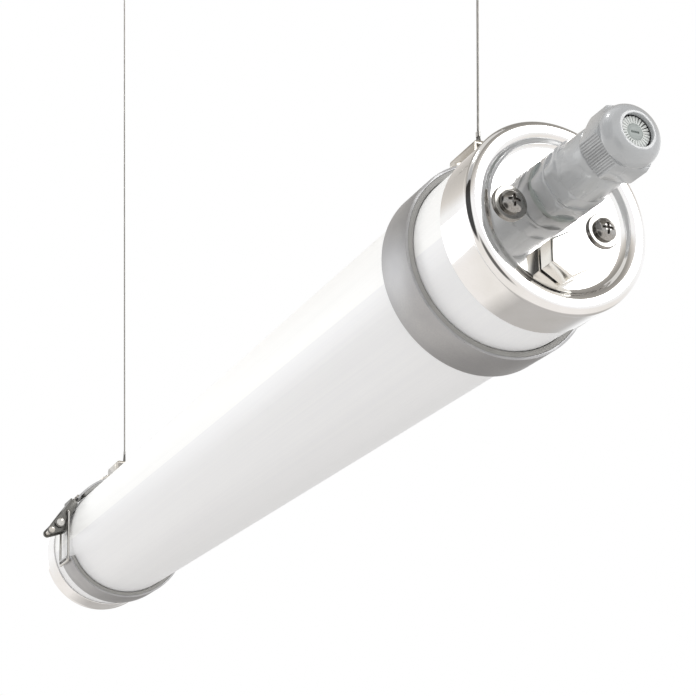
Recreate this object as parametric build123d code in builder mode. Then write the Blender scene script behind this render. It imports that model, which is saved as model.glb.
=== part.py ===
from build123d import *
from math import cos, degrees, radians, sin, sqrt
import os

os.makedirs("parts", exist_ok=True)

# Driving dimensions in millimetres. The tube lies along X and the gland end is at +X.
# The origin lies on the ceiling, midway between the two ceiling fixings.
tube_radius = 40.0
tube_wall = 2.0
rim_pitch = 626.0
clip_inset = 54.0
axis_drop = 540.0
ceiling_spacing = 610.0

rim_x = rim_pitch / 2
axis_z = -axis_drop
tube_bore = tube_radius - tube_wall
lamp_axis = Axis((0, 0, axis_z), (1, 0, 0))
ends = (("gland_end", 1), ("blind_end", -1))


def profile_plane(end):
    """Lengthwise plane at a rim: x points out of the lamp and y is the height over the axis."""
    return Plane(origin=(end * rim_x, 0, axis_z), x_dir=(end, 0, 0), z_dir=(0, -end, 0))


def cross_plane(end, along):
    """Plane square to the tube, a distance along the axis from the rim, facing out of the lamp."""
    return Plane(origin=(end * (rim_x + along), 0, axis_z), x_dir=(0, end, 0), z_dir=(end, 0, 0))


def polar(radius, angle):
    """Point at a radius and an angle in degrees."""
    return (radius * cos(radians(angle)), radius * sin(radians(angle)))


class RingSector(BaseSketchObject):
    """Piece of a flat ring about the sketch's origin, from a start angle over a given angle."""

    def __init__(self, inner, outer, start, size, mode=Mode.ADD):
        with BuildSketch(mode=Mode.PRIVATE) as sector:
            with BuildLine():
                outside = CenterArc((0, 0), outer, start, size)
                inside = CenterArc((0, 0), inner, start, size)
                Line(outside @ 0, inside @ 0)
                Line(outside @ 1, inside @ 1)
            make_face()
        super().__init__(sector.sketch, mode=mode)


# Tube: one plastic extrusion whose ends stop against the seals in the cap rims
seal_radius = 2.2
seat_gap = 0.1
tube_length = rim_pitch - 2 * (seal_radius + seat_gap)

with BuildPart() as tube:
    with BuildSketch(cross_plane(1, -rim_x)):
        Circle(tube_radius)
        Circle(tube_bore, mode=Mode.SUBTRACT)
    extrude(amount=tube_length / 2, both=True)
tube.part.label = "tube"
export_step(tube.part, "parts/tube.step")

# End caps: drawn stainless cups with a round shoulder, a flat crest and a face that slopes in to a disc
sheet = 0.6
skirt_length = 20.0
skirt_gap = 0.2
skirt_inner = tube_radius + skirt_gap
skirt_outer = skirt_inner + sheet
rim_bulge = 0.4
rim_bead = 3.0
bead_centre = skirt_outer + rim_bulge - rim_bead
crest_width = 4.0
crest_inner = bead_centre - crest_width
disc_depth = 0.0
face_slope = rim_bead + disc_depth
disc_radius = crest_inner - face_slope
bend_radius = 0.8

# Fittings on the cap faces, placed by radius and angle about the lamp's axis
cap_turn = -5.7
screw_radius = 2.5
screw_clear = 0.05
cap_hole = 2.75
washer_radius = 7.5
washer_margin = 2.3
screw_circle = disc_radius - washer_radius - washer_margin
gland_share = 0.316
gland_offset = gland_share * tube_radius
gland_angle = 79.4
gland_thread = 10.0
gland_hole = 10.2
vent_share = 0.48
vent_offset = vent_share * tube_radius
vent_angle = -92.5
vent_thread = 6.0
vent_hole = 6.2
gland_spot = polar(gland_offset, gland_angle)
vent_spot = polar(vent_offset, vent_angle)


def end_cap(end, has_entries):
    """One end cap, with or without the gland and vent holes."""
    inner_bead = rim_bead - sheet
    outer_start = -sqrt(rim_bead ** 2 - (skirt_outer - bead_centre) ** 2)
    inner_start = -sqrt(inner_bead ** 2 - (skirt_inner - bead_centre) ** 2)
    back_depth = disc_depth + sheet
    slope_shift = sheet * (sqrt(2) - 1)
    outer_shoulder = (rim_bead / sqrt(2), bead_centre + rim_bead / sqrt(2))
    inner_shoulder = (inner_bead / sqrt(2), bead_centre + inner_bead / sqrt(2))
    with BuildPart() as cap:
        with BuildSketch(profile_plane(end)):
            with BuildLine():
                Polyline(
                    (inner_start, skirt_inner),
                    (-skirt_length, skirt_inner),
                    (-skirt_length, skirt_outer),
                    (outer_start, skirt_outer),
                )
                ThreePointArc((outer_start, skirt_outer), outer_shoulder, (rim_bead, bead_centre))
                FilletPolyline(
                    (rim_bead, bead_centre),
                    (rim_bead, crest_inner),
                    (-disc_depth, disc_radius),
                    (-disc_depth, 0),
                    radius=bend_radius,
                )
                Line((-disc_depth, 0), (-back_depth, 0))
                FilletPolyline(
                    (-back_depth, 0),
                    (-back_depth, disc_radius + slope_shift),
                    (inner_bead, crest_inner + slope_shift),
                    (inner_bead, bead_centre),
                    radius=bend_radius,
                )
                ThreePointArc((inner_bead, bead_centre), inner_shoulder, (inner_start, skirt_inner))
            make_face()
        revolve(axis=lamp_axis)
        with BuildSketch(cross_plane(end, -disc_depth + sheet)):
            with PolarLocations(screw_circle, 2, start_angle=cap_turn):
                Circle(cap_hole)
            if has_entries:
                with Locations(gland_spot):
                    Circle(gland_hole)
                with Locations(vent_spot):
                    Circle(vent_hole)
        extrude(amount=-3 * sheet, mode=Mode.SUBTRACT)
    return cap


for end_name, end in ends:
    cap = end_cap(end, has_entries=end > 0)
    cap.part.label = f"{end_name}_cap"
    export_step(cap.part, f"parts/{end_name}_cap.step")

# Cap seals: silicone rings in the hollow shoulders
for end_name, end in ends:
    with BuildPart() as seal:
        with BuildSketch(profile_plane(end)):
            with Locations((0, bead_centre)):
                Circle(seal_radius)
        revolve(axis=lamp_axis)
    seal.part.label = f"{end_name}_seal"
    export_step(seal.part, f"parts/{end_name}_seal.step")

# Cap screws and washers: two pan-head screws at each end, into the lugs of the tray
washer_sheet = 1.2
head_radius = 5.0
head_height = 3.2
head_edge = 1.3
screw_length = 8.0
drive_span = 5.4
drive_width = 1.1
drive_depth = 1.9
head_seat = -disc_depth + washer_sheet

with BuildPart() as cap_washers:
    for end_name, end in ends:
        with BuildSketch(cross_plane(end, -disc_depth)):
            with PolarLocations(screw_circle, 2, start_angle=cap_turn):
                Circle(washer_radius)
                Circle(cap_hole, mode=Mode.SUBTRACT)
        extrude(amount=washer_sheet)
cap_washers.part.label = "cap_washers"
export_step(cap_washers.part, "parts/cap_washers.step")

with BuildPart() as cap_screws:
    for end_name, end in ends:
        for turn in (cap_turn, cap_turn + 180):
            across, up = polar(screw_circle, turn)
            centre = cross_plane(end, head_seat).from_local_coords((across, up, 0))
            head_plane = Plane(origin=centre, x_dir=(0, end, 0), z_dir=(end, 0, 0))
            screw_axis = Axis(centre, (end, 0, 0))
            with BuildSketch(Plane(origin=centre, x_dir=(end, 0, 0), z_dir=(0, -end, 0))):
                with BuildLine():
                    Polyline(
                        (head_height, 0),
                        (-screw_length, 0),
                        (-screw_length, screw_radius),
                        (0, screw_radius),
                        (0, head_radius),
                        (head_edge, head_radius),
                    )
                    TangentArc((head_height, 0), (head_edge, head_radius), tangent=(0, 1))
                make_face()
            revolve(axis=screw_axis)
            with BuildSketch(head_plane.offset(head_height)):
                Rectangle(drive_span, drive_width)
                Rectangle(drive_width, drive_span)
            extrude(amount=-drive_depth, mode=Mode.SUBTRACT)
cap_screws.part.label = "cap_screws"
export_step(cap_screws.part, "parts/cap_screws.step")

# Cable gland: distances along the axis are measured from the rim, along the gland's own axis
gland_flat = 25.0
flat_seal_sheet = 1.2
gland_foot = -disc_depth + flat_seal_sheet
base_hex_end = 8.4
neck_end = 9.8
hex_end = 17.5
body_end = 34.0
neck_radius = 13.4
core_radius = 12.2
barrel_foot_radius = 13.1
barrel_end_radius = 12.4
collar_end = 44.0
collar_radius = 10.5
shank_end = -13.0
cable_bore = 7.0
seal_seat = 37.0
seal_bore = 8.2
nut_start = 34.5
nut_hex_end = 46.0
nut_end = 52.5
nut_radius = 12.7
thread_clear = 0.1
mouth_radius = 6.9
mouth_start = 50.7
nut_turn = 2.2
corner_radius = gland_flat / sqrt(3)
gland_y, gland_z = gland_spot
gland_axis = Axis((0, gland_y, axis_z + gland_z), (1, 0, 0))


def gland_plane(along):
    """Plane square to the gland's axis, with its origin on that axis."""
    return Plane(origin=(rim_x + along, gland_y, axis_z + gland_z), x_dir=(0, 1, 0), z_dir=(1, 0, 0))


gland_profile = Plane(origin=(rim_x, gland_y, axis_z + gland_z), x_dir=(1, 0, 0), z_dir=(0, -1, 0))

# Gland body: two moulded hexagons with a ring between them, a round barrel that narrows a little,
# a threaded shank and a collar for the nut
hex_chamfer = 0.8
hex_trim = 13.8
barrel_fillet = 1.2

with BuildPart() as gland_body:
    for hex_start, hex_stop in ((gland_foot, base_hex_end), (neck_end, hex_end)):
        with BuildSketch(gland_plane(hex_start)):
            RegularPolygon(radius=gland_flat / 2, side_count=6, major_radius=False, rotation=nut_turn)
        extrude(amount=hex_stop - hex_start)
    with BuildSketch(gland_profile):
        with BuildLine():
            Polyline(
                (gland_foot, 0),
                (hex_end, 0),
                (hex_end, hex_trim - hex_chamfer),
                (hex_end - hex_chamfer, hex_trim),
                (neck_end + hex_chamfer, hex_trim),
                (neck_end, hex_trim - hex_chamfer),
                (base_hex_end, hex_trim - hex_chamfer),
                (base_hex_end - hex_chamfer, hex_trim),
                (gland_foot, hex_trim),
                close=True,
            )
        make_face()
    revolve(axis=gland_axis, mode=Mode.INTERSECT)
    with BuildSketch(gland_profile):
        with BuildLine():
            Polyline(
                (base_hex_end, 0),
                (base_hex_end, neck_radius),
                (neck_end, neck_radius),
                (neck_end, core_radius),
                (hex_end, core_radius),
                (hex_end, barrel_foot_radius),
                (body_end, barrel_end_radius),
                (body_end, 0),
                close=True,
            )
        make_face()
    revolve(axis=gland_axis)
    fillet(gland_body.faces().sort_by(Axis.X)[-1].edges(), barrel_fillet)
    with BuildSketch(gland_plane(body_end)):
        Circle(collar_radius)
    extrude(amount=collar_end - body_end)
    with BuildSketch(gland_plane(gland_foot)):
        Circle(gland_thread)
    extrude(amount=shank_end - gland_foot)
    with BuildSketch(gland_plane(shank_end)):
        Circle(cable_bore)
    extrude(amount=collar_end - shank_end, mode=Mode.SUBTRACT)
    with BuildSketch(gland_plane(seal_seat)):
        Circle(seal_bore)
    extrude(amount=collar_end - seal_seat, mode=Mode.SUBTRACT)
gland_body.part.label = "gland_body"
export_step(gland_body.part, "parts/gland_body.step")

# Gland flat seal and locknut: the cap's sheet is clamped between them
flat_seal_outer = 13.4
locknut_height = 6.0

with BuildPart() as gland_flat_seal:
    with BuildSketch(gland_plane(-disc_depth)):
        Circle(flat_seal_outer)
        Circle(gland_hole, mode=Mode.SUBTRACT)
    extrude(amount=flat_seal_sheet)
gland_flat_seal.part.label = "gland_flat_seal"
export_step(gland_flat_seal.part, "parts/gland_flat_seal.step")

with BuildPart() as gland_locknut:
    with BuildSketch(gland_plane(-disc_depth - sheet)):
        RegularPolygon(radius=gland_flat / 2, side_count=6, major_radius=False)
        Circle(gland_thread + thread_clear, mode=Mode.SUBTRACT)
    extrude(amount=-locknut_height)
gland_locknut.part.label = "gland_locknut"
export_step(gland_locknut.part, "parts/gland_locknut.step")

# Gland nut: ribbed hexagon that runs into a round dome with the cable mouth
ribbed_facets = (1, 3, 5)
rib_count = 13
rib_pitch = 1.05
rib_groove = 0.5
rib_depth = 0.4
dome_middle = (50.9, 11.0)
mouth_lip = 7.9
cone_start = 46.4
bore_overrun = 1.0

with BuildPart() as gland_nut:
    with BuildSketch(gland_plane(nut_start)):
        RegularPolygon(radius=gland_flat / 2, side_count=6, major_radius=False, rotation=nut_turn)
        for facet in ribbed_facets:
            facet_angle = nut_turn + 30 + 60 * facet
            for rib in range(rib_count):
                shift = (rib - (rib_count - 1) / 2) * rib_pitch
                out_y, out_z = polar(gland_flat / 2, facet_angle)
                side_y, side_z = polar(shift, facet_angle + 90)
                with Locations(Location((out_y + side_y, out_z + side_z, 0), (0, 0, facet_angle))):
                    Rectangle(2 * rib_depth, rib_groove, mode=Mode.SUBTRACT)
    extrude(amount=nut_hex_end - nut_start)
    with BuildSketch(gland_profile):
        with BuildLine():
            Polyline(
                (nut_start, 0),
                (nut_start, corner_radius - hex_chamfer),
                (nut_start + hex_chamfer, corner_radius),
                (nut_hex_end - hex_chamfer, corner_radius),
                (nut_hex_end + hex_chamfer, nut_radius),
                (nut_hex_end + hex_chamfer, 0),
                close=True,
            )
        make_face()
    revolve(axis=gland_axis, mode=Mode.INTERSECT)
    with BuildSketch(gland_profile):
        with BuildLine():
            Polyline((nut_end, mouth_lip), (nut_end, 0), (nut_hex_end, 0), (nut_hex_end, nut_radius))
            ThreePointArc((nut_hex_end, nut_radius), dome_middle, (nut_end, mouth_lip))
        make_face()
    revolve(axis=gland_axis)
    with BuildSketch(gland_profile):
        with BuildLine():
            Polyline(
                (nut_start - bore_overrun, 0),
                (nut_start - bore_overrun, collar_radius + thread_clear),
                (cone_start, collar_radius + thread_clear),
                (mouth_start, mouth_radius),
                (nut_end + bore_overrun, mouth_radius),
                (nut_end + bore_overrun, 0),
                close=True,
            )
        make_face()
    revolve(axis=gland_axis, mode=Mode.SUBTRACT)
gland_nut.part.label = "gland_nut"
export_step(gland_nut.part, "parts/gland_nut.step")

# Gland seal and dust plug: rubber insert with a notched nose, closed by a plug until a cable goes in
seal_clear = 0.1
nose_start = 45.0
nose_radius = 6.4
nose_end = 50.6
plug_radius = 3.5
plug_slot = 0.8
notch_count = 26
notch_width = 0.5
notch_depth = 1.4
notch_length = 2.8

with BuildPart() as gland_seal:
    with BuildSketch(gland_plane(seal_seat + seal_clear)):
        Circle(seal_bore - seal_clear)
    extrude(amount=nose_start - seal_seat - seal_clear)
    with BuildSketch(gland_plane(nose_start)):
        Circle(nose_radius)
    extrude(amount=nose_end - nose_start)
    with BuildSketch(gland_plane(nose_end)):
        with PolarLocations(nose_radius - notch_length / 2, notch_count):
            Rectangle(notch_length, notch_width)
    extrude(amount=-notch_depth, mode=Mode.SUBTRACT)
    with BuildSketch(gland_plane(nose_end)):
        Circle(plug_radius)
    extrude(amount=seal_seat - nose_end, mode=Mode.SUBTRACT)
gland_seal.part.label = "gland_seal"
export_step(gland_seal.part, "parts/gland_seal.step")

with BuildPart() as dust_plug:
    with BuildSketch(gland_plane(nose_end)):
        Circle(plug_radius - seal_clear)
    extrude(amount=seal_seat + seal_clear - nose_end)
    with BuildSketch(gland_plane(nose_end)):
        Rectangle(plug_radius, plug_slot)
    extrude(amount=-plug_slot, mode=Mode.SUBTRACT)
dust_plug.part.label = "dust_plug"
export_step(dust_plug.part, "parts/dust_plug.step")

# Vent plug: hexagon head, sealed on the cap and held by a nut inside
vent_flat = 17.0
vent_seal_sheet = 0.8
vent_seal_outer = 8.0
vent_head = 8.0
vent_head_fillet = 0.8
vent_shank_end = -12.0
vent_nut_flat = 17.0
vent_nut_height = 5.0
vent_hex_turn = 28.5
vent_y, vent_z = vent_spot
vent_foot = -disc_depth + vent_seal_sheet


def vent_plane(along):
    """Plane square to the vent's axis, with its origin on that axis."""
    return Plane(origin=(rim_x + along, vent_y, axis_z + vent_z), x_dir=(0, 1, 0), z_dir=(1, 0, 0))


with BuildPart() as vent_plug:
    with BuildSketch(vent_plane(vent_foot)):
        RegularPolygon(radius=vent_flat / 2, side_count=6, major_radius=False, rotation=vent_hex_turn)
    extrude(amount=vent_head)
    fillet(vent_plug.faces().sort_by(Axis.X)[-1].edges(), vent_head_fillet)
    with BuildSketch(vent_plane(vent_foot)):
        Circle(vent_thread)
    extrude(amount=vent_shank_end - vent_foot)
vent_plug.part.label = "vent_plug"
export_step(vent_plug.part, "parts/vent_plug.step")

with BuildPart() as vent_seal:
    with BuildSketch(vent_plane(-disc_depth)):
        Circle(vent_seal_outer)
        Circle(vent_hole, mode=Mode.SUBTRACT)
    extrude(amount=vent_seal_sheet)
vent_seal.part.label = "vent_seal"
export_step(vent_seal.part, "parts/vent_seal.step")

with BuildPart() as vent_nut:
    with BuildSketch(vent_plane(-disc_depth - sheet)):
        RegularPolygon(radius=vent_nut_flat / 2, side_count=6, major_radius=False, rotation=vent_hex_turn)
        Circle(vent_thread + thread_clear, mode=Mode.SUBTRACT)
    extrude(amount=-vent_nut_height)
vent_nut.part.label = "vent_nut"
export_step(vent_nut.part, "parts/vent_nut.step")

# Gear tray: folded aluminium channel across the tube, screwed to the lugs at both ends
tray_top = -7.5
tray_sheet = 1.5
tray_edge_gap = 4.0
tray_half_width = tube_bore - tray_edge_gap
tray_flange = 7.0
tray_inset = 8.0
tray_half_length = rim_x - tray_inset
tray_bottom = tray_top - tray_sheet

# Lugs: angle brackets behind the cap faces, tapped for the cap screws
lug_width = 11.0
lug_sheet = 2.0
lug_foot = 24.0
lug_head = 6.0
lug_front = -disc_depth - sheet

# Screws through the tray: lug feet, driver and terminal block
tray_screw_radius = 2.0
tray_screw_head = 3.5
tray_screw_head_height = 2.2
tray_screw_clear = 0.05
lug_screw_inset = 20.0
driver_length = 160.0
driver_width = 42.0
driver_height = 24.0
driver_tab = 12.0
driver_tab_sheet = 2.0
terminal_inset = 63.0
terminal_x = rim_x - terminal_inset
terminal_length = 30.0
terminal_width = 20.0
terminal_height = 18.0
terminal_tab = 8.0
lug_screw_x = rim_x - lug_screw_inset
driver_screw_x = driver_length / 2 + driver_tab / 2
terminal_screw_shift = terminal_length / 2 + terminal_tab / 2
lug_lane = polar(screw_circle, cap_turn)[0]
lug_screw_spots = [(end * lug_screw_x, side * lug_lane) for name, end in ends for side in (1, -1)]
driver_screw_spots = [(driver_screw_x, 0), (-driver_screw_x, 0)]
terminal_screw_spots = [(terminal_x + terminal_screw_shift, 0), (terminal_x - terminal_screw_shift, 0)]
tray_screw_spots = lug_screw_spots + driver_screw_spots + terminal_screw_spots

# LED boards: two boards under the tray, each held by three small screws
board_inset = 21.0
board_length = tray_half_length - board_inset
board_width = 36.0
board_sheet = 1.6
board_gap = 4.0
board_screw_radius = 1.5
board_screw_head = 2.75
board_screw_head_height = 1.6
board_screw_inset = 12.0
board_screw_pitch = board_length / 2 - board_screw_inset
board_middle = (board_length + board_gap) / 2
board_bottom = tray_bottom - board_sheet
board_screw_spots = [
    (side * board_middle + step * board_screw_pitch, 0) for side in (1, -1) for step in (-1, 0, 1)
]
lead_hole = 4.0
lead_hole_x = -110.0


def level_plane(height):
    """Level plane at a height over the tube's axis."""
    return Plane.XY.offset(axis_z + height)


with BuildPart() as gear_tray:
    with BuildSketch(cross_plane(1, -rim_x)):
        with Locations((0, tray_top - tray_sheet / 2)):
            Rectangle(2 * tray_half_width, tray_sheet)
        for side in (1, -1):
            with Locations((side * (tray_half_width - tray_sheet / 2), tray_bottom + tray_flange / 2)):
                Rectangle(tray_sheet, tray_flange)
    extrude(amount=tray_half_length, both=True)
    with BuildSketch(level_plane(tray_top)):
        with Locations(*tray_screw_spots):
            Circle(tray_screw_radius + tray_screw_clear)
        with Locations(*board_screw_spots):
            Circle(board_screw_radius + tray_screw_clear)
        with Locations((lead_hole_x, 0)):
            Circle(lead_hole)
    extrude(amount=-tray_sheet, mode=Mode.SUBTRACT)
gear_tray.part.label = "gear_tray"
export_step(gear_tray.part, "parts/gear_tray.step")

with BuildPart() as tray_lugs:
    for end_name, end in ends:
        for turn in (cap_turn, cap_turn + 180):
            across, up = polar(screw_circle, turn)
            upright = up + lug_head - tray_top
            with BuildSketch(cross_plane(end, lug_front)):
                with Locations((across, tray_top + upright / 2)):
                    Rectangle(lug_width, upright)
                with Locations((across, up)):
                    Circle(screw_radius + screw_clear, mode=Mode.SUBTRACT)
            extrude(amount=-lug_sheet)
            foot_x = end * (rim_x + lug_front - lug_foot / 2)
            with BuildSketch(level_plane(tray_top)):
                with Locations((foot_x, end * across)):
                    Rectangle(lug_foot, lug_width)
                with Locations((end * lug_screw_x, end * across)):
                    Circle(tray_screw_radius + tray_screw_clear, mode=Mode.SUBTRACT)
            extrude(amount=lug_sheet)
tray_lugs.part.label = "tray_lugs"
export_step(tray_lugs.part, "parts/tray_lugs.step")

with BuildPart() as tray_screws:
    seats = [(lug_screw_spots, lug_sheet), (driver_screw_spots + terminal_screw_spots, driver_tab_sheet)]
    for spots, seat in seats:
        with BuildSketch(level_plane(tray_top + seat)):
            with Locations(*spots):
                Circle(tray_screw_head)
        extrude(amount=tray_screw_head_height)
        with BuildSketch(level_plane(tray_top + seat)):
            with Locations(*spots):
                Circle(tray_screw_radius)
        extrude(amount=-seat - tray_sheet)
tray_screws.part.label = "tray_screws"
export_step(tray_screws.part, "parts/tray_screws.step")

# LED boards, their light chips and their screws
chip_length = 3.0
chip_width = 2.8
chip_height = 0.7
chip_count = 14
chip_inset = 12.0
chip_pitch = (board_length - 2 * chip_inset) / (chip_count - 1)
chip_row = 10.0

with BuildPart() as led_boards:
    with BuildSketch(level_plane(tray_bottom)):
        with Locations((board_middle, 0), (-board_middle, 0)):
            Rectangle(board_length, board_width)
        with Locations(*board_screw_spots):
            Circle(board_screw_radius + tray_screw_clear, mode=Mode.SUBTRACT)
    extrude(amount=-board_sheet)
led_boards.part.label = "led_boards"
export_step(led_boards.part, "parts/led_boards.step")

with BuildPart() as led_chips:
    with BuildSketch(level_plane(board_bottom)):
        with Locations((board_middle, 0), (-board_middle, 0)):
            with GridLocations(chip_pitch, 2 * chip_row, chip_count, 2):
                Rectangle(chip_length, chip_width)
    extrude(amount=-chip_height)
led_chips.part.label = "led_chips"
export_step(led_chips.part, "parts/led_chips.step")

with BuildPart() as board_screws:
    with BuildSketch(level_plane(board_bottom)):
        with Locations(*board_screw_spots):
            Circle(board_screw_head)
    extrude(amount=-board_screw_head_height)
    with BuildSketch(level_plane(board_bottom)):
        with Locations(*board_screw_spots):
            Circle(board_screw_radius)
    extrude(amount=board_sheet + tray_sheet)
board_screws.part.label = "board_screws"
export_step(board_screws.part, "parts/board_screws.step")

# Driver: closed case on the tray with a screw tab at each end
case_fillet = 2.0

with BuildPart() as driver:
    with BuildSketch(level_plane(tray_top)):
        Rectangle(driver_length, driver_width)
    extrude(amount=driver_height)
    fillet(driver.edges().filter_by(Axis.Z), case_fillet)
    fillet(driver.faces().sort_by(Axis.Z)[-1].edges(), case_fillet)
    with BuildSketch(level_plane(tray_top)):
        with Locations(*driver_screw_spots):
            Rectangle(driver_tab, driver_width / 2)
            Circle(tray_screw_radius + tray_screw_clear, mode=Mode.SUBTRACT)
    extrude(amount=driver_tab_sheet)
driver.part.label = "driver"
export_step(driver.part, "parts/driver.step")

# Terminal block: three clamps side by side, with a wire way and a screw shaft each
pole_pitch = 6.0
pole_count = 3
wire_way = 1.6
wire_way_height = 8.0
clamp_shaft = 2.0
clamp_depth = 5.0

with BuildPart() as terminal_block:
    with BuildSketch(level_plane(tray_top)):
        with Locations((terminal_x, 0)):
            Rectangle(terminal_length, terminal_width)
    extrude(amount=terminal_height)
    with BuildSketch(level_plane(tray_top)):
        with Locations(*terminal_screw_spots):
            Rectangle(terminal_tab, terminal_width / 2)
            Circle(tray_screw_radius + tray_screw_clear, mode=Mode.SUBTRACT)
    extrude(amount=driver_tab_sheet)
    with BuildSketch(cross_plane(1, terminal_x - rim_x)):
        with Locations((0, tray_top + wire_way_height)):
            with GridLocations(pole_pitch, 1, pole_count, 1):
                Circle(wire_way)
    extrude(amount=terminal_length / 2, both=True, mode=Mode.SUBTRACT)
    with BuildSketch(level_plane(tray_top + terminal_height)):
        with Locations((terminal_x, 0)):
            with GridLocations(terminal_length / 2, pole_pitch, 2, pole_count):
                Circle(clamp_shaft)
    extrude(amount=-clamp_depth, mode=Mode.SUBTRACT)
terminal_block.part.label = "terminal_block"
export_step(terminal_block.part, "parts/terminal_block.step")

# Leads inside the tube: mains from the terminal block to the driver, and from the driver to the boards
lead_radius = 1.1
lead_grip = 8.0
lead_bend = 4.0
lead_height = tray_top + wire_way_height


def lead(points):
    """Round lead along straight runs with rounded corners."""
    with BuildPart() as wire:
        with BuildLine() as route:
            FilletPolyline(*points, radius=lead_bend)
        with BuildSketch(Plane(origin=route.line @ 0, z_dir=route.line % 0)):
            Circle(lead_radius)
        sweep()
    return wire.part


with BuildPart() as mains_leads:
    for side in (1, -1):
        start = terminal_x - terminal_length / 2 + lead_grip
        with BuildSketch(cross_plane(1, start - rim_x)):
            with Locations((side * pole_pitch, lead_height)):
                Circle(lead_radius)
        extrude(amount=driver_length / 2 - start)
mains_leads.part.label = "mains_leads"
export_step(mains_leads.part, "parts/mains_leads.step")

with BuildPart() as led_leads:
    for side in (1, -1):
        lane = side * 2 * lead_radius
        corner = (lead_hole_x, lane, axis_z + lead_height)
        start = (-driver_length / 2, lane, axis_z + lead_height)
        add(lead([start, corner, (lead_hole_x, lane, axis_z + tray_bottom)]))
led_leads.part.label = "led_leads"
export_step(led_leads.part, "parts/led_leads.step")

# Clips: a steel strap over a rubber liner, open on the latch side, turned about at the two ends.
# Sketches of a clip look along the tube: x points out on the latch side and y points up.
clip_width = 21.5
liner_gap = 0.3
liner_inner = tube_radius + liner_gap
liner_sheet = 2.5
strap_sheet = 1.2
liner_outer = liner_inner + liner_sheet
strap_outer = liner_outer + strap_sheet
strap_start = 34.0
liner_start = 41.5
keeper_angle = -24.0
strap_size = 360 + keeper_angle - strap_start
liner_size = 360 + keeper_angle - liner_start

# Latch: the bail hooks under the keeper lip and hangs on the lever, past the dead centre
bail_wire = 1.8
bail_lean = 88.15
bail_length = 35.86
bail_clear = 0.25
keeper_slack = 1.2
lip_sheet = 1.2
lip_length = 2.4
lip_half_width = 8.8
lever_arm = 10.05
lock_angle = 31.15
bail_along = polar(1, bail_lean)
bail_out = polar(1, bail_lean - 90)
lip_root_x, lip_root_y = polar(strap_outer, keeper_angle)
crossbar_drop = lip_sheet / 2 + keeper_slack + bail_wire / 2
crossbar = (
    lip_root_x + bail_clear * bail_out[0] - crossbar_drop * bail_along[0] + bail_wire / 2 * bail_out[0],
    lip_root_y + bail_clear * bail_out[1] - crossbar_drop * bail_along[1] + bail_wire / 2 * bail_out[1],
)
bail_eye = (crossbar[0] + bail_length * bail_along[0], crossbar[1] + bail_length * bail_along[1])
arm_x, arm_y = polar(lever_arm, bail_lean + lock_angle)
pivot = (bail_eye[0] - arm_x, bail_eye[1] - arm_y)

# Widths across the latch, measured from the clip's middle
ear_inner = 5.6
ear_outer = 6.8
cheek_inner = 7.4
cheek_outer = 8.6
pin_head_gap = 0.1
pin_head_sheet = 0.5
bail_pin_end = 7.1
bail_half_width = 10.4

# Rivets on a clip: angle, shift across the clip and the radius that their heads sit on
rivet_radius = 1.5
rivet_clear = 0.05
rivet_head = 2.4
rivet_head_height = 1.0
hanger_sheet = 1.5
base_sheet = 1.2
foot_angle = 17.0
foot_rivet_shift = 6.0
base_rivet_angle = 37.5
base_rivet_shift = 2.8
hanger_rivets = [
    (90 + side * foot_angle, shift) for side in (1, -1) for shift in (foot_rivet_shift, -foot_rivet_shift)
]
base_rivets = [(base_rivet_angle, base_rivet_shift), (base_rivet_angle, -base_rivet_shift)]


def rivet_plane(clip, angle, shift, radius):
    """Plane on a clip at a rivet, facing out from the tube."""
    y, z = polar(radius, angle)
    centre = clip.from_local_coords((y, z, shift))
    inner = clip.from_local_coords((0, 0, shift))
    return Plane(origin=centre, x_dir=(1, 0, 0), z_dir=centre - inner)


# Hanger: folded steel bracket on top of the clip, with two holes for the wire loop
hanger_rise = 11.0
hanger_top = strap_outer + hanger_rise
hanger_half_width = 9.0
hanger_bend = 2.5
foot_reach = 23.0
loop_shift = 1.6
loop_wire = 1.0
loop_hole = 1.0
wall_inner = hanger_half_width - hanger_sheet

# Hanging wires: a loop through the hanger, a crimp, and a straight run to the ceiling holder
crimp_rise = 8.0
crimp_foot = hanger_top + crimp_rise
crimp_height = 2.5
crimp_length = 2.6
crimp_width = 1.4
strand_shift = 0.55
wire_grip = 1.0
loop_dip = 4.4
loop_bottom = hanger_top - loop_dip
loop_rise = 3.0
loop_knee = hanger_top + loop_rise
loop_bend = 1.5
strand_bend = 6.0
ceiling_base_radius = 11.0
ceiling_base_height = 8.0
ceiling_screw_hole = 2.25
ceiling_screw_head = 4.6
ceiling_screw_sink = 3.0
holder_radius = 8.0
holder_height = 22.0
holder_wall = 2.0
holder_nipple_radius = 5.5
holder_nipple_height = 5.0
holder_hole = 1.4
wire_radius = 0.5
ferrule_radius = 2.6
ferrule_height = 6.0
holder_bottom = -ceiling_base_height - holder_height
fixing_x = ceiling_spacing / 2


def bail_point(clip, spot, shift):
    """Point of the latch in the part's frame."""
    return clip.from_local_coords((spot[0], spot[1], shift))


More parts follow.
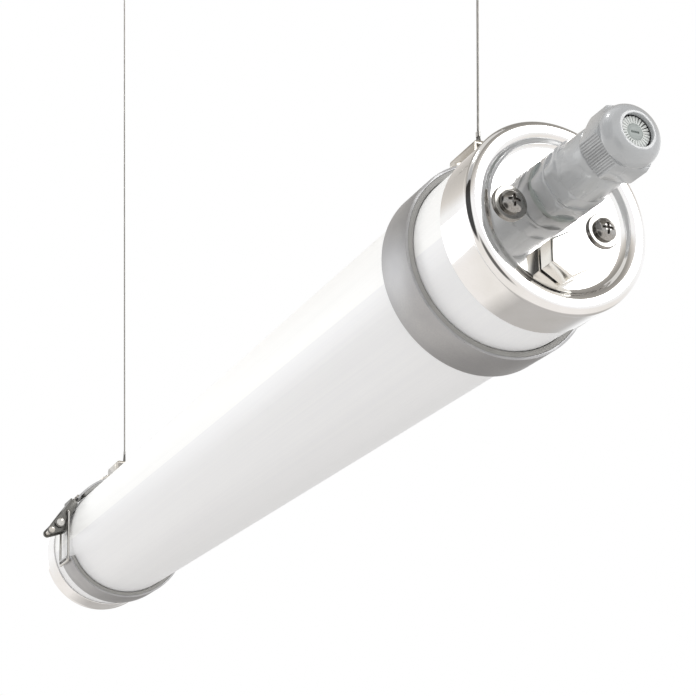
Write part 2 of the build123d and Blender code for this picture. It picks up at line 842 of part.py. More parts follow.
for end_name, end in ends:
    clip = cross_plane(end, -clip_inset)
    clip_x = end * (rim_x - clip_inset)

    # Clip liner
    with BuildPart() as liner:
        with BuildSketch(clip):
            RingSector(liner_inner, liner_outer, liner_start, liner_size)
        extrude(amount=clip_width / 2, both=True)
    liner.part.label = f"{end_name}_clip_liner"
    export_step(liner.part, f"parts/{end_name}_clip_liner.step")

    # Clip strap with its keeper lip
    with BuildPart() as strap:
        with BuildSketch(clip):
            RingSector(liner_outer, strap_outer, strap_start, strap_size)
        extrude(amount=clip_width / 2, both=True)
        with BuildSketch(clip):
            with Locations(Location((lip_root_x, lip_root_y, 0), (0, 0, bail_lean - 90))):
                with Locations(((lip_length - lip_sheet) / 2, 0)):
                    Rectangle(lip_length + lip_sheet, lip_sheet)
            Circle(liner_outer, mode=Mode.SUBTRACT)
        extrude(amount=lip_half_width, both=True)
        for angle, shift in hanger_rivets + base_rivets:
            with BuildSketch(rivet_plane(clip, angle, shift, strap_outer)):
                Circle(rivet_radius + rivet_clear)
            extrude(amount=-2 * strap_sheet, mode=Mode.SUBTRACT)
    strap.part.label = f"{end_name}_clip_strap"
    export_step(strap.part, f"parts/{end_name}_clip_strap.step")

    # Hanger bracket
    hanger_seat = strap_outer + hanger_sheet
    hanger_inset = 0.5
    foot_lap = 1.0
    with BuildPart() as hanger:
        with BuildSketch(clip):
            with Locations((0, hanger_top / 2)):
                RectangleRounded(2 * hanger_half_width, hanger_top, hanger_bend)
                Rectangle(2 * wall_inner, hanger_top - 2 * hanger_sheet, mode=Mode.SUBTRACT)
            Circle(strap_outer, mode=Mode.SUBTRACT)
            with Locations((0, -strap_outer)):
                Rectangle(2 * hanger_top, 2 * strap_outer, mode=Mode.SUBTRACT)
            side_angle = degrees(hanger_half_width / strap_outer)
            for start in (90 + side_angle, 90 - foot_reach):
                RingSector(strap_outer, hanger_seat, start - foot_lap, foot_reach - side_angle + 2 * foot_lap)
        extrude(amount=clip_width / 2 - hanger_inset, both=True)
        with BuildSketch(Plane.XY.offset(axis_z + hanger_top)):
            with Locations((clip_x + loop_shift, 0), (clip_x - loop_shift, 0)):
                Circle(loop_hole)
        extrude(amount=-hanger_sheet, mode=Mode.SUBTRACT)
        for angle, shift in hanger_rivets:
            with BuildSketch(rivet_plane(clip, angle, shift, strap_outer + 2 * hanger_sheet)):
                Circle(rivet_radius + rivet_clear)
            extrude(amount=-3 * hanger_sheet, mode=Mode.SUBTRACT)
    hanger.part.label = f"{end_name}_hanger"
    export_step(hanger.part, f"parts/{end_name}_hanger.step")

    # Latch base: a curved plate riveted under the end of the strap, with two ears that carry the lever
    pivot_lug = 3.4
    pin_radius = 1.5
    pin_clear = 0.05
    guard_reach = 8.8
    guard_angle = 1.1
    guard_spot = polar(strap_outer + guard_reach, guard_angle)
    guard_lug = 2.8
    guard_radius = 1.6
    base_inner = liner_outer - base_sheet
    base_start = 2.0
    base_size = 39.0
    root_radius = (base_inner + liner_outer) / 2
    root_angles = (4.0, 20.0)
    with BuildPart() as latch_base:
        with BuildSketch(clip):
            RingSector(base_inner, liner_outer, base_start, base_size)
        extrude(amount=ear_outer, both=True)
        for side in (1, -1):
            with BuildSketch(clip.offset(side * (ear_inner + ear_outer) / 2)):
                with Locations(pivot):
                    Circle(pivot_lug)
                with Locations(guard_spot):
                    Circle(guard_lug)
                with Locations(*[polar(root_radius, angle) for angle in root_angles]):
                    Circle(base_sheet)
                make_hull()
                Circle(base_inner, mode=Mode.SUBTRACT)
                with Locations(pivot):
                    Circle(pin_radius, mode=Mode.SUBTRACT)
                with Locations(guard_spot):
                    Circle(guard_radius, mode=Mode.SUBTRACT)
            extrude(amount=(ear_outer - ear_inner) / 2, both=True)
        for angle, shift in base_rivets:
            with BuildSketch(rivet_plane(clip, angle, shift, strap_outer)):
                Circle(rivet_radius + rivet_clear)
            extrude(amount=base_inner - strap_outer - rivet_clear, mode=Mode.SUBTRACT)
    latch_base.part.label = f"{end_name}_latch_base"
    export_step(latch_base.part, f"parts/{end_name}_latch_base.step")

    # Clip rivets: four hold the hanger and two hold the latch base
    with BuildPart() as rivets:
        rivet_groups = (
            (hanger_rivets, hanger_seat, liner_outer),
            (base_rivets, strap_outer, base_inner),
        )
        for spots, top, foot in rivet_groups:
            for angle, shift in spots:
                seat = rivet_plane(clip, angle, shift, top)
                with BuildSketch(seat):
                    Circle(rivet_head)
                extrude(amount=rivet_head_height, taper=25)
                with BuildSketch(seat):
                    Circle(rivet_radius)
                extrude(amount=foot - top)
    rivets.part.label = f"{end_name}_clip_rivets"
    export_step(rivets.part, f"parts/{end_name}_clip_rivets.step")

    # Lever pin and guard rivet through the two ears
    pin_head = 2.8
    guard_head = 2.2
    pin_half = cheek_outer + pin_head_gap
    with BuildPart() as lever_pin:
        with BuildSketch(clip):
            with Locations(pivot):
                Circle(pin_radius)
        extrude(amount=pin_half, both=True)
        for side in (1, -1):
            with BuildSketch(clip.offset(side * (pin_half + pin_head_sheet / 2))):
                with Locations(pivot):
                    Circle(pin_head)
            extrude(amount=pin_head_sheet / 2, both=True)
    lever_pin.part.label = f"{end_name}_lever_pin"
    export_step(lever_pin.part, f"parts/{end_name}_lever_pin.step")

    with BuildPart() as guard_rivet:
        with BuildSketch(clip):
            with Locations(guard_spot):
                Circle(guard_radius)
        extrude(amount=ear_outer, both=True)
        for side in (1, -1):
            with BuildSketch(clip.offset(side * (ear_outer + pin_head_gap))):
                with Locations(guard_spot):
                    Circle(guard_head)
            extrude(amount=pin_head_gap, both=True)
    guard_rivet.part.label = f"{end_name}_guard_rivet"
    export_step(guard_rivet.part, f"parts/{end_name}_guard_rivet.step")

    # Latch lever: two cheeks outside the ears, joined by a handle plate with a turned-out tip
    lever_length = 16.6
    lever_angle = bail_lean + 33.75
    cheek_pivot_end = 3.6
    cheek_eye_end = 2.8
    cheek_tip_end = 2.8
    cheek_gap = 0.9
    handle_start = 11.0
    handle_end = 17.6
    handle_sheet = 1.2
    handle_face = cheek_tip_end - handle_sheet
    finger_reach = 1.6
    finger_rise = 1.0
    lever_axis = polar(1, lever_angle)
    lever_out = polar(1, lever_angle - 90)
    tip = (pivot[0] + lever_length * lever_axis[0], pivot[1] + lever_length * lever_axis[1])
    handle_outline = [
        (handle_start, handle_face),
        (handle_end, handle_face),
        (handle_end + finger_reach, handle_face + finger_rise),
        (handle_end + finger_reach - handle_sheet / 2, handle_face + finger_rise + handle_sheet),
        (handle_end - handle_sheet / 2, cheek_tip_end),
        (handle_start, cheek_tip_end),
    ]
    handle = [
        (
            pivot[0] + along * lever_axis[0] + out * lever_out[0],
            pivot[1] + along * lever_axis[1] + out * lever_out[1],
        )
        for along, out in handle_outline
    ]
    with BuildPart() as lever:
        for side in (1, -1):
            with BuildSketch(clip.offset(side * (cheek_inner + cheek_outer) / 2)):
                with Locations(pivot):
                    Circle(cheek_pivot_end)
                with Locations(bail_eye):
                    Circle(cheek_eye_end)
                with Locations(tip):
                    Circle(cheek_tip_end)
                make_hull()
                Circle(tube_radius + cheek_gap, mode=Mode.SUBTRACT)
                with Locations(pivot):
                    Circle(pin_radius + pin_clear, mode=Mode.SUBTRACT)
                with Locations(bail_eye):
                    Circle(bail_wire / 2 + pin_clear, mode=Mode.SUBTRACT)
            extrude(amount=(cheek_outer - cheek_inner) / 2, both=True)
        with BuildSketch(clip):
            with BuildLine():
                Polyline(*handle, close=True)
            make_face()
        extrude(amount=cheek_outer, both=True)
    lever.part.label = f"{end_name}_latch_lever"
    export_step(lever.part, f"parts/{end_name}_latch_lever.step")

    # Latch bail: bent wire whose two ends turn in the lever's cheeks
    bail_bend = 1.8
    with BuildPart() as bail:
        with BuildLine() as route:
            FilletPolyline(
                bail_point(clip, bail_eye, bail_pin_end),
                bail_point(clip, bail_eye, bail_half_width),
                bail_point(clip, crossbar, bail_half_width),
                bail_point(clip, crossbar, -bail_half_width),
                bail_point(clip, bail_eye, -bail_half_width),
                bail_point(clip, bail_eye, -bail_pin_end),
                radius=bail_bend,
            )
        with BuildSketch(Plane(origin=route.line @ 0, z_dir=route.line % 0)):
            Circle(bail_wire / 2)
        sweep()
    bail.part.label = f"{end_name}_latch_bail"
    export_step(bail.part, f"parts/{end_name}_latch_bail.step")

    # Wire loop through the two holes of the hanger
    with BuildPart() as loop:
        with BuildLine() as route:
            FilletPolyline(
                (clip_x + strand_shift, 0, axis_z + crimp_foot + wire_grip),
                (clip_x + loop_shift, 0, axis_z + loop_knee),
                (clip_x + loop_shift, 0, axis_z + loop_bottom),
                (clip_x - loop_shift, 0, axis_z + loop_bottom),
                (clip_x - loop_shift, 0, axis_z + loop_knee),
                (clip_x - strand_shift, 0, axis_z + crimp_foot + wire_grip),
                radius=(strand_bend, loop_bend, loop_bend, strand_bend),
            )
        with BuildSketch(Plane(origin=route.line @ 0, z_dir=route.line % 0)):
            Circle(loop_wire / 2)
        sweep()
    loop.part.label = f"{end_name}_wire_loop"
    export_step(loop.part, f"parts/{end_name}_wire_loop.step")

    # Wire crimp that closes the loop
    with BuildPart() as crimp:
        with BuildSketch(Plane.XY.offset(axis_z + crimp_foot)):
            with Locations((clip_x, 0)):
                SlotOverall(crimp_length, crimp_width)
        extrude(amount=crimp_height)
    crimp.part.label = f"{end_name}_wire_crimp"
    export_step(crimp.part, f"parts/{end_name}_wire_crimp.step")

    # Hanging wire, straight from the crimp to the holder under the ceiling
    wire_foot = Vector(clip_x, 0, axis_z + crimp_foot + crimp_height - wire_grip)
    wire_head = Vector(end * fixing_x, 0, holder_bottom + holder_wall + wire_grip)
    with BuildPart() as wire:
        with BuildSketch(Plane(origin=wire_foot, z_dir=wire_head - wire_foot)):
            Circle(wire_radius)
        extrude(amount=(wire_head - wire_foot).length)
    wire.part.label = f"{end_name}_wire"
    export_step(wire.part, f"parts/{end_name}_wire.step")
    print(end_name, "wire length", (wire_head - wire_foot).length)

    # Wire holder: turned cup that hides the end of the wire and screws on the ceiling base
    with BuildPart() as holder:
        with BuildSketch(Plane.XY.offset(holder_bottom)):
            with Locations((end * fixing_x, 0)):
                Circle(holder_radius)
        extrude(amount=holder_height)
        fillet(holder.faces().sort_by(Axis.Z)[0].edges(), holder_wall)
        with BuildSketch(Plane.XY.offset(holder_bottom + holder_wall)):
            with Locations((end * fixing_x, 0)):
                Circle(holder_nipple_radius + thread_clear)
        extrude(amount=holder_height - holder_wall, mode=Mode.SUBTRACT)
        with BuildSketch(Plane.XY.offset(holder_bottom)):
            with Locations((end * fixing_x, 0)):
                Circle(holder_hole)
        extrude(amount=holder_wall, mode=Mode.SUBTRACT)
    holder.part.label = f"{end_name}_wire_holder"
    export_step(holder.part, f"parts/{end_name}_wire_holder.step")

    # Wire ferrule: the pressed stop on the wire's end, resting on the holder's floor
    with BuildPart() as ferrule:
        with BuildSketch(Plane.XY.offset(holder_bottom + holder_wall)):
            with Locations((end * fixing_x, 0)):
                Circle(ferrule_radius)
        extrude(amount=ferrule_height)
    ferrule.part.label = f"{end_name}_wire_ferrule"
    export_step(ferrule.part, f"parts/{end_name}_wire_ferrule.step")

    # Ceiling base: round foot with a nipple for the holder and a sunk hole for the ceiling screw
    with BuildPart() as ceiling_base:
        with BuildSketch(Plane.XY):
            with Locations((end * fixing_x, 0)):
                Circle(ceiling_base_radius)
        extrude(amount=-ceiling_base_height)
        with BuildSketch(Plane.XY.offset(-ceiling_base_height)):
            with Locations((end * fixing_x, 0)):
                Circle(holder_nipple_radius)
        extrude(amount=-holder_nipple_height)
        with BuildSketch(Plane.XY):
            with Locations((end * fixing_x, 0)):
                Circle(ceiling_screw_hole)
        extrude(amount=-ceiling_base_height - holder_nipple_height, mode=Mode.SUBTRACT)
        with BuildSketch(Plane.XY.offset(-ceiling_base_height - holder_nipple_height)):
            with Locations((end * fixing_x, 0)):
                Circle(ceiling_screw_head)
        extrude(amount=ceiling_screw_sink, mode=Mode.SUBTRACT)
    ceiling_base.part.label = f"{end_name}_ceiling_base"
    export_step(ceiling_base.part, f"parts/{end_name}_ceiling_base.step")
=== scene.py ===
from math import pi, radians

import bmesh
import bpy
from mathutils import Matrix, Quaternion, Vector


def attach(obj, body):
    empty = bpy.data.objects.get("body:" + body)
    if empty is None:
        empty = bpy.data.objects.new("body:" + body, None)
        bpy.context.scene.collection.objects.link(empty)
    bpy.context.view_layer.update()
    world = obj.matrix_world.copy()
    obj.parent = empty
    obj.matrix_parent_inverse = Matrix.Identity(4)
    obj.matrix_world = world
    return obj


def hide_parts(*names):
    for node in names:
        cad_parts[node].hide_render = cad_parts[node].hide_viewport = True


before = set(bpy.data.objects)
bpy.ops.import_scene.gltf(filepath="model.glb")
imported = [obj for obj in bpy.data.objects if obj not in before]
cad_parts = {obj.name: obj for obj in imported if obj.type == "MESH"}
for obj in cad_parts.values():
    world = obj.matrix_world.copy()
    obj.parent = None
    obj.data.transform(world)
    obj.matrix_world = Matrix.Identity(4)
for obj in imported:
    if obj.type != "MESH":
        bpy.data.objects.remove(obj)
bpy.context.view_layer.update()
scene = bpy.context.scene
scene.view_settings.view_transform = "Standard"


# Camera: it stands below the gland end and looks up along the tube, as in the photo.
# The direction points from the lamp back to the camera, which is held a little askew.
camera_data = bpy.data.cameras.new("camera")
camera_data.sensor_width = 36
camera_data.lens = 75.73
camera_data.clip_end = 50
camera = bpy.data.objects.new("camera", camera_data)
camera.location = (0.7427, -0.2991, -0.7873)
camera_back = Vector((0.8426, -0.4067, -0.3532))
camera_roll = Quaternion((0, 0, 1), radians(-1.45))
camera.rotation_euler = (camera_back.to_track_quat("Z", "Y") @ camera_roll).to_euler()
scene.collection.objects.link(camera)
scene.camera = camera


# Studio: plain white to the camera and soft daylight on the lamp. Polished metal shows a white room
# with a grey ceiling and three darker places, at the near side, behind the camera and below the far
# end, which draw the dark lines and shades on its curves.
def add_node(tree, kind, inputs=None, stops=(), **settings):
    """Adds one shader node with its options, ramp stops, and set or linked inputs."""
    made = tree.nodes.new(kind)
    for key, value in settings.items():
        setattr(made, key, value)
    for key, value in (inputs or {}).items():
        if isinstance(value, bpy.types.NodeSocket):
            tree.links.new(value, made.inputs[key])
        else:
            made.inputs[key].default_value = value
    if stops:
        elements = made.color_ramp.elements
        while len(elements) < len(stops):
            elements.new(0.5)
        for element, (position, colour) in zip(elements, stops):
            element.position = position
            element.color = colour if isinstance(colour, list) else [colour, colour, colour, 1]
    return made


def srgb(code):
    """Linear colour of an sRGB hex code."""
    parts = [int(code[i:i + 2], 16) / 255 for i in (0, 2, 4)]
    linear = [c / 12.92 if c <= 0.04045 else ((c + 0.055) / 1.055) ** 2.4 for c in parts]
    return linear + [1]


world = bpy.data.worlds.new("studio")
world.use_nodes = True
scene.world = world
sky = world.node_tree
sky.nodes.clear()
direction = add_node(sky, "ShaderNodeTexCoord").outputs["Generated"]
height = add_node(sky, "ShaderNodeSeparateXYZ", {"Vector": direction}).outputs["Z"]
straight_down, straight_up = -1.0, 1.0
level_range = add_node(sky, "ShaderNodeMapRange", {
    "Value": height, "From Min": straight_down, "From Max": straight_up})
level = level_range.outputs["Result"]
daylight = add_node(sky, "ShaderNodeValToRGB", {"Fac": level}, stops=[
    (0.0, srgb("F0F0EF")), (0.45, srgb("EEEEEC")), (0.6, srgb("F6F6F6")), (1.0, srgb("FFFFFF"))])
room = add_node(sky, "ShaderNodeValToRGB", {"Fac": level}, stops=[
    (0.40, srgb("F4F0EC")), (0.47, srgb("F6F4F2")), (0.55, srgb("FFFFFF")),
    (0.72, srgb("FFFFFF")), (0.77, srgb("DCD7D1")), (0.86, srgb("A8A49E")), (1.0, srgb("8C8984"))])
reflected = room.outputs[0]

# Each darker place: its middle, how near to that its edge and its core begin, and the light left in it.
dark_places = (
    ((0.15, -0.90, 0.41), 0.76, 0.84, 0.06),
    ((0.75, -0.52, -0.40), 0.90, 0.96, 0.16),
    ((-0.70, 0.50, -0.50), 0.74, 0.88, 0.56),
)
for dark_middle, dark_edge, dark_core, dark_level in dark_places:
    nearness = add_node(sky, "ShaderNodeVectorMath", {0: direction, 1: dark_middle},
                        operation="DOT_PRODUCT")
    dimming = add_node(sky, "ShaderNodeValToRGB", {"Fac": nearness.outputs["Value"]}, stops=[
        (dark_edge, 1.0), (dark_core, dark_level)])
    dimmed = add_node(sky, "ShaderNodeMix", {0: 1.0, 6: reflected, 7: dimming.outputs[0]},
                      data_type="RGBA", blend_type="MULTIPLY")
    reflected = dimmed.outputs[2]

daylight_strength = 0.9
lit = add_node(sky, "ShaderNodeBackground", {
    "Color": daylight.outputs[0], "Strength": daylight_strength})
mirrored = add_node(sky, "ShaderNodeBackground", {"Color": reflected, "Strength": 1.0})
plain = add_node(sky, "ShaderNodeBackground", {"Color": srgb("FFFFFF"), "Strength": 1.0})
ray = add_node(sky, "ShaderNodeLightPath")
unseen = add_node(sky, "ShaderNodeMixShader", {
    0: ray.outputs["Is Glossy Ray"], 1: lit.outputs[0], 2: mirrored.outputs[0]})
seen = add_node(sky, "ShaderNodeMixShader", {
    0: ray.outputs["Is Camera Ray"], 1: unseen.outputs[0], 2: plain.outputs[0]})
add_node(sky, "ShaderNodeOutputWorld", {"Surface": seen.outputs[0]})


def softbox(name, place, target, size, power):
    """A square area light that faces a point, with its side in metres and its power in watts."""
    data = bpy.data.lights.new(name, "AREA")
    data.size = size
    data.energy = power
    lamp = bpy.data.objects.new(name, data)
    lamp.location = place
    lamp.rotation_euler = (Vector(place) - Vector(target)).to_track_quat("Z", "Y").to_euler()
    scene.collection.objects.link(lamp)


mm = 0.001
axis_drop = 540 * mm
lamp_middle = (0.0, 0.0, -axis_drop)
gland_tip = (0.36, 0.0, -0.53)
softbox("overhead", (0.3, -0.9, 1.6), lamp_middle, size=2.2, power=7)
softbox("window", (-2.0, -1.8, -0.1), lamp_middle, size=1.4, power=6)
softbox("lantern", (0.23, -0.8, 1.19), lamp_middle, size=0.3, power=7)
softbox("front", (2.0, 1.3, 0.6), gland_tip, size=0.9, power=11)


# Floor: a wide sheet of pale paper, well below the hanging lamp and the camera.
# It isn't part of the lamp, and polished metal shows the room in its place.
floor_half = 9.0
floor_height = -2.2
floor_work = bmesh.new()
bmesh.ops.create_grid(floor_work, x_segments=1, y_segments=1, size=floor_half)
bmesh.ops.translate(floor_work, verts=floor_work.verts, vec=(0, 0, floor_height))
floor_mesh = bpy.data.meshes.new("floor")
floor_work.to_mesh(floor_mesh)
floor_work.free()
floor_paper = bpy.data.materials.new("pale_paper_sheet")
floor_paper.use_nodes = True
paper = floor_paper.node_tree
paper_surface = paper.nodes["Principled BSDF"]
paper_fibres_per_metre = 260.0
paper_grain = add_node(paper, "ShaderNodeTexNoise", {"Scale": paper_fibres_per_metre, "Detail": 4.0})
paper_shade = add_node(paper, "ShaderNodeValToRGB", {"Fac": paper_grain.outputs["Fac"]}, stops=[
    (0.3, srgb("F1F0EE")), (0.7, srgb("F4F3F1"))])
paper.links.new(paper_shade.outputs[0], paper_surface.inputs["Base Color"])
paper_surface.inputs["Roughness"].default_value = 0.9
paper_ray = add_node(paper, "ShaderNodeLightPath")
paper_gone = add_node(paper, "ShaderNodeBsdfTransparent")
paper_mix = add_node(paper, "ShaderNodeMixShader", {
    0: paper_ray.outputs["Is Glossy Ray"], 1: paper_surface.outputs[0], 2: paper_gone.outputs[0]})
paper.links.new(paper_mix.outputs[0], paper.nodes["Material Output"].inputs["Surface"])
floor_mesh.materials.append(floor_paper)
floor = bpy.data.objects.new("floor", floor_mesh)
scene.collection.objects.link(floor)


# Hanging wires: bright steel rope, pressed into a crimp over the hanger and into a
# ferrule in the holder under the ceiling. Each runs straight, pulled tight by the lamp.
ends = (("gland_end", 1), ("blind_end", -1))
rope_diameter = 1.0 * mm
wire_foot = (259.0 * mm, 64.5 * mm)
wire_head = (305.0 * mm, 513.0 * mm)
rope_strands = 7.0
rope_twists = 56.0


def new_surface(name):
    """A material with its node tree and its surface shader."""
    made = bpy.data.materials.new(name)
    made.use_nodes = True
    return made, made.node_tree, made.node_tree.nodes["Principled BSDF"]


# Drawn steel rope: seven strands that twist round once in 8 mm, seen as slanting light and dark lines.
rope, tree, surface = new_surface("drawn_steel_rope")
place = add_node(tree, "ShaderNodeTexCoord").outputs["UV"]
stretched = add_node(tree, "ShaderNodeMapping", {"Vector": place, "Scale": (rope_twists, rope_strands, 1.0)})
strands = add_node(tree, "ShaderNodeTexWave", {"Vector": stretched.outputs[0], "Scale": 1.0},
                   bands_direction="DIAGONAL")
strand_shade = add_node(tree, "ShaderNodeValToRGB", {"Fac": strands.outputs["Fac"]}, stops=[
    (0.1, srgb("84827E")), (0.7, srgb("B8B5B0"))])
strand_bump = add_node(tree, "ShaderNodeBump", {
    "Height": strands.outputs["Fac"], "Strength": 0.6, "Distance": 0.1 * mm})
tree.links.new(strand_shade.outputs[0], surface.inputs["Base Color"])
tree.links.new(strand_bump.outputs[0], surface.inputs["Normal"])
surface.inputs["Metallic"].default_value = 1.0
surface.inputs["Roughness"].default_value = 0.36

for end_name, end in ends:
    foot = Vector((end * wire_foot[0], 0, wire_foot[1] - axis_drop))
    head = Vector((end * wire_head[0], 0, wire_head[1] - axis_drop))
    curve = bpy.data.curves.new(f"{end_name}_hanging_wire", "CURVE")
    curve.dimensions = "3D"
    curve.bevel_depth = rope_diameter / 2
    curve.bevel_resolution = 5
    curve.use_fill_caps = True
    spline = curve.splines.new("NURBS")
    spline.points.add(2)
    for point, spot in zip(spline.points, (foot, (foot + head) / 2, head)):
        point.co = (*spot, 1)
    spline.order_u = 3
    spline.use_endpoint_u = True
    curve.materials.append(rope)
    wire = bpy.data.objects.new(f"{end_name}_hanging_wire", curve)
    scene.collection.objects.link(wire)
    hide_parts(f"{end_name}_wire")
    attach(wire, "suspension")


# Ceiling fittings and wire ends: turned stainless bases, holders and ferrules, and pressed crimps.
# The base is screwed to the ceiling, and the holder screws up on to it over the wire's end.
metal_cloud_mm = 14


def grained_metal(name, dark, light, low_rough, high_rough, grain_mm):
    """Metal with a fine grain that changes its shade, its gloss and its height."""
    made, tree, surface = new_surface(name)
    place = add_node(tree, "ShaderNodeTexCoord").outputs["Object"]
    grain = add_node(tree, "ShaderNodeTexNoise", {
        "Vector": place, "Scale": 1 / (grain_mm * mm), "Detail": 3.0})
    clouds = add_node(tree, "ShaderNodeTexNoise", {
        "Vector": place, "Scale": 1 / (metal_cloud_mm * mm), "Detail": 2.0})
    blend = add_node(tree, "ShaderNodeMath", {
        0: grain.outputs["Fac"], 1: clouds.outputs["Fac"], 2: 0.12}, operation="MULTIPLY_ADD")
    shade = add_node(tree, "ShaderNodeValToRGB", {"Fac": blend.outputs[0]}, stops=[
        (0.25, srgb(dark)), (0.55, srgb(light))])
    gloss = add_node(tree, "ShaderNodeMapRange", {
        "Value": grain.outputs["Fac"], "From Min": 0.3, "From Max": 0.7,
        "To Min": low_rough, "To Max": high_rough})
    relief = add_node(tree, "ShaderNodeBump", {
        "Height": grain.outputs["Fac"], "Strength": 0.08, "Distance": 0.03 * mm})
    tree.links.new(shade.outputs[0], surface.inputs["Base Color"])
    tree.links.new(gloss.outputs[0], surface.inputs["Roughness"])
    tree.links.new(relief.outputs[0], surface.inputs["Normal"])
    surface.inputs["Metallic"].default_value = 1.0
    return made


# Satin stainless: bead blasted after turning, so it is pale and shows only a soft gleam.
satin_stainless = grained_metal("bead_blasted_stainless", "B4B2AE", "CFCDC9", 0.24, 0.36, 0.5)


def dress(node, material):
    """Gives a CAD node a finished material."""
    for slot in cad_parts[node].material_slots:
        slot.material = material


for end_name, _ in ends:
    dress(f"{end_name}_wire_loop", rope)
    for piece in ("wire_crimp", "wire_ferrule", "wire_holder", "ceiling_base"):
        dress(f"{end_name}_{piece}", satin_stainless)


# Clip straps and liners: rolled steel strip bent round the tube, open on the latch side, with a
# keeper lip at its lower end, over a grey rubber strip that grips the tube.
merge_gap = 0.002 * mm
flat_angle = radians(0.5)


def softened(node, edge_mm, sharp=40):
    """Working copy of a solid with its corners merged and its sharp edges rounded off."""
    work = bmesh.new()
    work.from_mesh(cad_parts[node].data)
    bmesh.ops.remove_doubles(work, verts=work.verts, dist=merge_gap)
    bmesh.ops.dissolve_limit(work, angle_limit=flat_angle, verts=work.verts, edges=work.edges)
    edges = [edge for edge in work.edges if edge.is_manifold and edge.calc_face_angle() > radians(sharp)]
    bmesh.ops.bevel(work, geom=edges, offset=edge_mm * mm, segments=2, profile=0.5, affect="EDGES",
                    clamp_overlap=True, material=-1)
    return work


def finished(work, name, body, nodes, material, crease=32):
    bmesh.ops.recalc_face_normals(work, faces=work.faces)
    mesh = bpy.data.meshes.new(name)
    work.to_mesh(mesh)
    work.free()
    mesh.shade_smooth()
    mesh.set_sharp_from_angle(angle=radians(crease))
    mesh.materials.append(material)
    piece = bpy.data.objects.new(name, mesh)
    scene.collection.objects.link(piece)
    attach(piece, body)
    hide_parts(*nodes)
    return piece


# Rolled steel strip: matt mid grey, with a fine even grain from the rolls.
strap_steel = grained_metal("cold_rolled_steel_strip", "B5B5B7", "C3C3C3", 0.42, 0.52, 0.8)


# Moulded rubber: matt, with a fine bloom that lightens it in patches.
bloom_mm = 9
rubber_skin_mm = 0.4


def bloomed_rubber(name, dark, light, rough):
    """Matt rubber with patches of bloom and a fine moulded skin."""
    made, tree, surface = new_surface(name)
    place = add_node(tree, "ShaderNodeTexCoord").outputs["Object"]
    bloom = add_node(tree, "ShaderNodeTexNoise", {
        "Vector": place, "Scale": 1 / (bloom_mm * mm), "Detail": 5.0})
    skin = add_node(tree, "ShaderNodeTexNoise", {
        "Vector": place, "Scale": 1 / (rubber_skin_mm * mm), "Detail": 2.0})
    shade = add_node(tree, "ShaderNodeValToRGB", {"Fac": bloom.outputs["Fac"]}, stops=[
        (0.3, srgb(dark)), (0.7, srgb(light))])
    gloss = add_node(tree, "ShaderNodeMapRange", {
        "Value": bloom.outputs["Fac"], "To Min": rough - 0.08, "To Max": rough + 0.08})
    relief = add_node(tree, "ShaderNodeBump", {
        "Height": skin.outputs["Fac"], "Strength": 0.15, "Distance": 0.04 * mm})
    tree.links.new(shade.outputs[0], surface.inputs["Base Color"])
    tree.links.new(gloss.outputs[0], surface.inputs["Roughness"])
    tree.links.new(relief.outputs[0], surface.inputs["Normal"])
    surface.inputs["IOR"].default_value = 1.52
    return made


liner_rubber = bloomed_rubber("moulded_grey_rubber", "9C9B98", "A8A7A4", 0.62)

for end_name, _ in ends:
    finished(softened(f"{end_name}_clip_strap", 0.35), f"{end_name}_strap", "suspension",
             [f"{end_name}_clip_strap"], strap_steel)
    finished(softened(f"{end_name}_clip_liner", 0.5), f"{end_name}_liner", "suspension",
             [f"{end_name}_clip_liner"], liner_rubber)


# Hangers: stainless strip folded into a raised bridge, riveted on top of the strap by its two feet.
# The wire's loop goes through it, so it carries the lamp's weight.

# Bright annealed strip: pale and fairly shiny, with blurred reflections.
bright_strip = grained_metal("bright_annealed_stainless", "BDB8B0", "D8D4CD", 0.16, 0.26, 0.7)

for end_name, _ in ends:
    finished(softened(f"{end_name}_hanger", 0.25), f"{end_name}_bridge", "suspension",
             [f"{end_name}_hanger"], bright_strip)
    finished(softened(f"{end_name}_clip_rivets", 0.15), f"{end_name}_strap_rivets", "suspension",
             [f"{end_name}_clip_rivets"], bright_strip)


# Latches: a pressed base riveted to the strap, a lever on a headed pin, and a wire bail that the
# lever pulls up under the keeper lip.

# Pressed steel: dull and dark, with soft gleams. Drawn spring wire: pale, with a sharp bright line.
latch_steel = grained_metal("dull_pressed_steel", "6A6966", "888784", 0.30, 0.44, 0.6)
polished_wire = grained_metal("polished_spring_wire", "C4C2BE", "DCDAD6", 0.10, 0.18, 0.4)

for end_name, _ in ends:
    finished(softened(f"{end_name}_latch_base", 0.2), f"{end_name}_base_plate", "suspension",
             [f"{end_name}_latch_base"], latch_steel)
    finished(softened(f"{end_name}_lever_pin", 0.15), f"{end_name}_pin", "suspension",
             [f"{end_name}_lever_pin"], polished_wire)
    finished(softened(f"{end_name}_guard_rivet", 0.08), f"{end_name}_stop_rivet", "suspension",
             [f"{end_name}_guard_rivet"], bright_strip)
    finished(softened(f"{end_name}_latch_lever", 0.2), f"{end_name}_handle", f"{end_name}_lever",
             [f"{end_name}_latch_lever"], latch_steel)
    finished(softened(f"{end_name}_latch_bail", 0.05, sharp=60), f"{end_name}_bail_wire", f"{end_name}_bail",
             [f"{end_name}_latch_bail"], polished_wire)


# Tube: one plastic extrusion, opaque white above and opal below, with a sharp line between the two.
# Its ends stop on the silicone rings inside the cap rims.
rim_x = 313.0
tube_radius = 40.0
tube_bore = 38.0
tube_end = -2.3
tube_edge = 0.4
bore_edge = 0.2
seam_height = -5.9 * mm - axis_drop
seam_blur = 0.2 * mm
extrusion_line_mm = 1.2
extrusion_run_mm = 250


